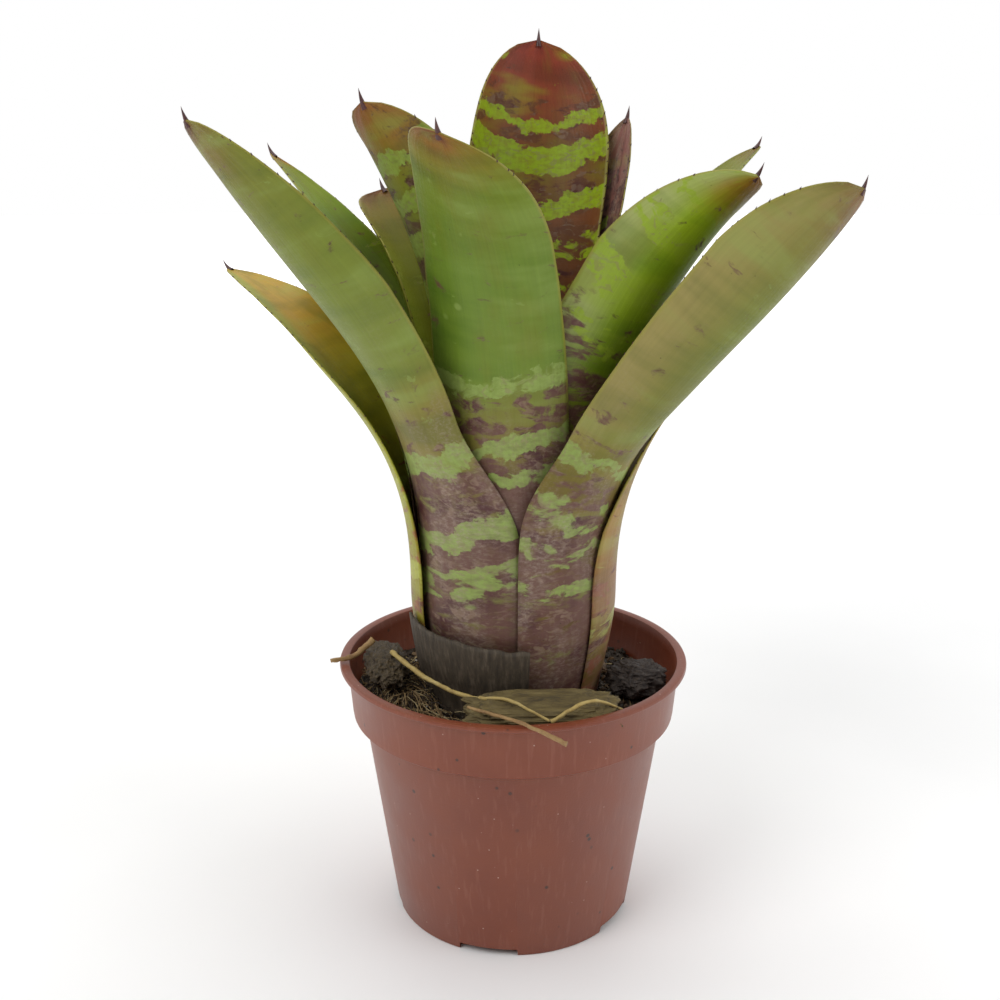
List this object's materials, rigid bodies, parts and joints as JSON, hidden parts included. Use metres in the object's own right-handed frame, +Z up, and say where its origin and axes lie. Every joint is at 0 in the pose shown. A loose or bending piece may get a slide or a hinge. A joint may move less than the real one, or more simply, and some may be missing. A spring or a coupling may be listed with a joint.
{
  "type": "potted neoregelia",
  "caption": "Young bromeliad with strap-shaped, toothed leaves in a tube-like rosette, growing in potting mix in a small tapered plastic nursery pot.",
  "frame": {"origin": "centre of the pot's base, on its underside", "axes": "+Z up along the pot's axis, -Y towards the viewer of the picture, +X to the right"},
  "size_m": [0.1573, 0.1342, 0.2245],
  "materials": {
    "pot": "satin terracotta-coloured plastic with dirt specks",
    "potting_mix": "dark moist bark and peat mix",
    "stem": "short fleshy stem below the sheaths",
    "old_sheath": "dry, cut remnant of an old leaf sheath",
    "bark": "chunk of bark",
    "soil_clump": "crumbly clump of mix",
    "fibre": "tangle of fine roots",
    "root": "dry roots and straws",
    "leaf_low_left": "yellow-green leaf with an orange face",
    "leaf_low_right": "olive leaf flushed pink",
    "leaf_front_right": "yellow-green to olive leaf with a bloom",
    "leaf_back_left_low": "green banded leaf",
    "leaf_front_left": "sage-green leaf with a bloom",
    "leaf_back_right": "green banded leaf with a red tip",
    "leaf_front": "blue-green leaf with an orange-brown tip",
    "leaf_back_low": "green banded leaf",
    "leaf_left": "vivid green leaf",
    "leaf_right": "bright green leaf with faint bands",
    "leaf_back_left": "olive leaf",
    "leaf_upper_left": "banded leaf with a red-brown tip",
    "leaf_upper_right": "pink-purple banded leaf",
    "leaf_tall_back": "maroon leaf with lime bands",
    "leaf_young": "young green leaf"
  },
  "bodies": {
    "root": {"pot": "pot", "potting_mix": "potting_mix", "stem": "stem", "old_sheath": "old_sheath", "leaf_low_left": "leaf_low_left", "leaf_low_right": "leaf_low_right", "leaf_front_right": "leaf_front_right", "leaf_back_left_low": "leaf_back_left_low", "leaf_front_left": "leaf_front_left", "leaf_back_right": "leaf_back_right", "leaf_front": "leaf_front", "leaf_back_low": "leaf_back_low", "leaf_left": "leaf_left", "leaf_right": "leaf_right", "leaf_back_left": "leaf_back_left", "leaf_upper_left": "leaf_upper_left", "leaf_upper_right": "leaf_upper_right", "leaf_tall_back": "leaf_tall_back", "leaf_young": "leaf_young", "bark_chunk": "bark", "soil_clump": "soil_clump", "fibre_clump": "fibre", "long_root": "root", "rim_straw": "root", "rim_twig": "root", "arched_root": "root"}
  },
  "joints": []
}
